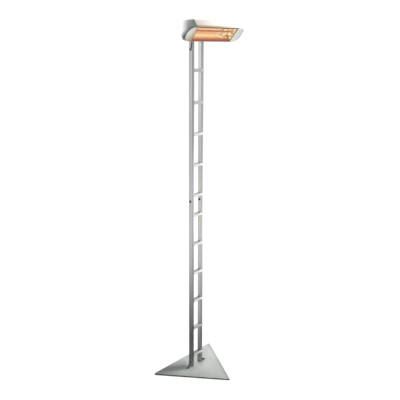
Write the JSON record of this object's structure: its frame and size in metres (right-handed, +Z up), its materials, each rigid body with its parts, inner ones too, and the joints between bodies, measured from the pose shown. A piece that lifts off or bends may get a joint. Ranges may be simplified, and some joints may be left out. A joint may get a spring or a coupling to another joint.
{
  "type": "free-standing infrared heater",
  "caption": "Outdoor heater: a lamp head with flared end caps tilts on top of a two-part ladder column that stands on a triangular steel plate.",
  "frame": {"origin": "on the floor, midway between the two posts", "axes": "+Z up; +X from the left post to the right post, along the lamp; the mouth of the head looks towards -Y and down"},
  "size_m": [0.5696, 0.4245, 2.3227],
  "materials": {
    "column_steel": "satin, fine vertical grain",
    "plate_steel": "brushed along the rear edge",
    "white_paint": "satin powder coat",
    "silver_paint": "cast, silver powder coat",
    "black_paint": "satin powder coat",
    "black_screws": "black oxide",
    "plain_screws": "zinc or nickel plated",
    "black_plastic": "fine texture",
    "mat_rubber": "matt",
    "seal_rubber": "matt",
    "lead_sheath": "matt rubber sheath",
    "reflector_sheet": "bright rolled, hammered",
    "quartz": "clear quartz, lit from inside",
    "filament": "glowing tungsten coil",
    "ceramic": "unglazed ceramic"
  },
  "bodies": {
    "root": {"base_mat": "mat_rubber", "base_plate": "plate_steel", "bracket_screws": "black_screws", "foot_screws": "black_screws", "head_bracket": "silver_paint", "joint_bolts": "black_screws", "lamp_lead": "lead_sheath", "lead_grommet": "seal_rubber", "left_foot_bracket": "black_paint", "left_foot_stub": "column_steel", "left_lower_post": "column_steel", "left_post_cap": "black_plastic", "left_spigot": "column_steel", "left_upper_post": "column_steel", "mains_gland": "plain_screws", "right_foot_bracket": "black_paint", "right_foot_stub": "column_steel", "right_lower_post": "column_steel", "right_post_cap": "black_plastic", "right_spigot": "column_steel", "right_upper_post": "column_steel", "rung_01": "column_steel", "rung_02": "column_steel", "rung_03": "column_steel", "rung_04": "column_steel", "rung_05": "column_steel", "rung_06": "column_steel", "rung_07": "column_steel", "rung_08": "column_steel", "rung_09": "column_steel", "rung_10": "column_steel", "rung_11": "column_steel"},
    "head": {"box_gasket": "seal_rubber", "box_screws": "plain_screws", "end_cap_screws": "plain_screws", "front_frame": "black_paint", "hollow_pivot": "plain_screws", "housing_shell": "white_paint", "lamp_filament": "filament", "lead_tail": "lead_sheath", "left_end_cap": "silver_paint", "left_lamp_base": "ceramic", "left_lamp_holder": "ceramic", "left_reflector_end": "reflector_sheet", "pivot_bolt": "plain_screws", "pivot_washers": "black_plastic", "quartz_tube": "quartz", "reflector": "reflector_sheet", "right_end_cap": "silver_paint", "right_lamp_base": "ceramic", "right_lamp_holder": "ceramic", "right_reflector_end": "reflector_sheet", "terminal_block": "ceramic", "terminal_box": "silver_paint"}
  },
  "joints": [
    {"name": "head_tilt", "type": "hinge", "parent": "root", "child": "head", "pos_m": [0, -0.035, 2.279], "axis": [1, 0, 0], "range_deg": [-25, 30]}
  ]
}
